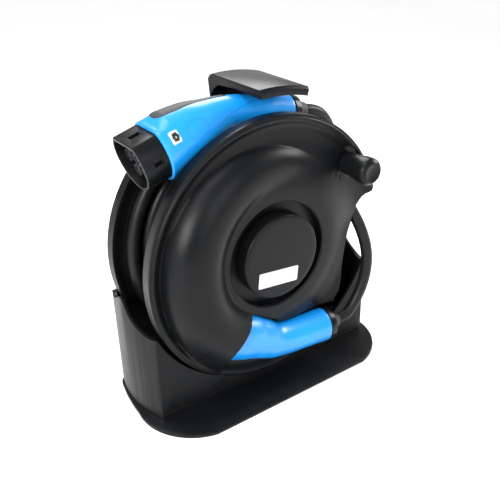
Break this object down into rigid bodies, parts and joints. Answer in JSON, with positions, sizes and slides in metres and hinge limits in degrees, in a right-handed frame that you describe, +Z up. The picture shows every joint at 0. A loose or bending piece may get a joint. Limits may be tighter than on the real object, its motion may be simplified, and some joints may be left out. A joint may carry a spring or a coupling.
{
  "type": "portable ev charging cable reel",
  "caption": "Hand-cranked reel of EV charging cable with a connector at each end, standing in a moulded floor stand with a carrying handle.",
  "frame": {"origin": "on the floor under the reel's axis, midway between the front flange and the back plate", "axes": "+Z up, +Y along the reel's axis from the crank side to the back, +X to the right seen from the crank side"},
  "size_m": [0.3144, 0.149, 0.343],
  "materials": {
    "black_plastic": "satin moulded ABS",
    "blue_grip": "glossy moulded polyamide",
    "grey_elastomer": "matt soft-touch elastomer",
    "cable_sheath": "smooth polyurethane sheath",
    "rubber": "matt",
    "contact_insulator": "matt moulded",
    "plated_contact": "silver plated",
    "steel": "zinc plated",
    "bearing_plastic": "natural acetal",
    "label_film": "blank printed film"
  },
  "bodies": {
    "stand": {"stand_shell": "black_plastic", "stand_feet": "rubber", "cradle_pads": "rubber"},
    "reel_frame": {"back_plate": "black_plastic", "carry_handle": "black_plastic", "handle_screws": "steel", "main_axle": "steel", "axle_front_washer": "steel", "axle_circlip": "steel", "axle_rear_washer": "steel", "axle_nut": "steel", "vehicle_cable": "cable_sheath", "vehicle_nose": "black_plastic", "vehicle_contact_block": "contact_insulator", "vehicle_contacts": "plated_contact", "vehicle_grip_left": "blue_grip", "vehicle_grip_right": "blue_grip", "vehicle_grip_screws": "steel", "vehicle_grip_inlay": "grey_elastomer", "vehicle_gland_nut": "black_plastic", "vehicle_strain_relief": "grey_elastomer"},
    "drum": {"front_flange": "black_plastic", "drum_core": "black_plastic", "drum_front_cheek": "black_plastic", "drum_rear_cheek": "black_plastic", "front_bush": "bearing_plastic", "rear_bush": "bearing_plastic", "hub_cap": "black_plastic", "drum_screws": "steel", "hub_label": "label_film", "knob_spindle": "steel", "knob_screw": "steel", "cable_winding": "cable_sheath", "supply_cable": "cable_sheath", "cable_clamp": "black_plastic", "clamp_screws": "steel", "supply_nose": "black_plastic", "supply_contact_block": "contact_insulator", "supply_contacts": "plated_contact", "supply_grip_left": "blue_grip", "supply_grip_right": "blue_grip", "supply_grip_screws": "steel", "supply_grip_inlay": "grey_elastomer", "supply_gland_nut": "black_plastic", "supply_strain_relief": "grey_elastomer"},
    "crank_knob": {"crank_knob": "black_plastic", "knob_cap": "black_plastic"}
  },
  "joints": [
    {"name": "reel_lift", "type": "slide", "parent": "stand", "child": "reel_frame", "axis": [0, 0, 1], "range_m": [0, 0.25]},
    {"name": "drum_spin", "type": "hinge", "parent": "reel_frame", "child": "drum", "pos_m": [0, 0, 0.1675], "axis": [0, 1, 0], "continuous": true},
    {"name": "knob_spin", "type": "hinge", "parent": "drum", "child": "crank_knob", "pos_m": [0.10049, 0, 0.24516], "axis": [0, 1, 0], "continuous": true}
  ]
}
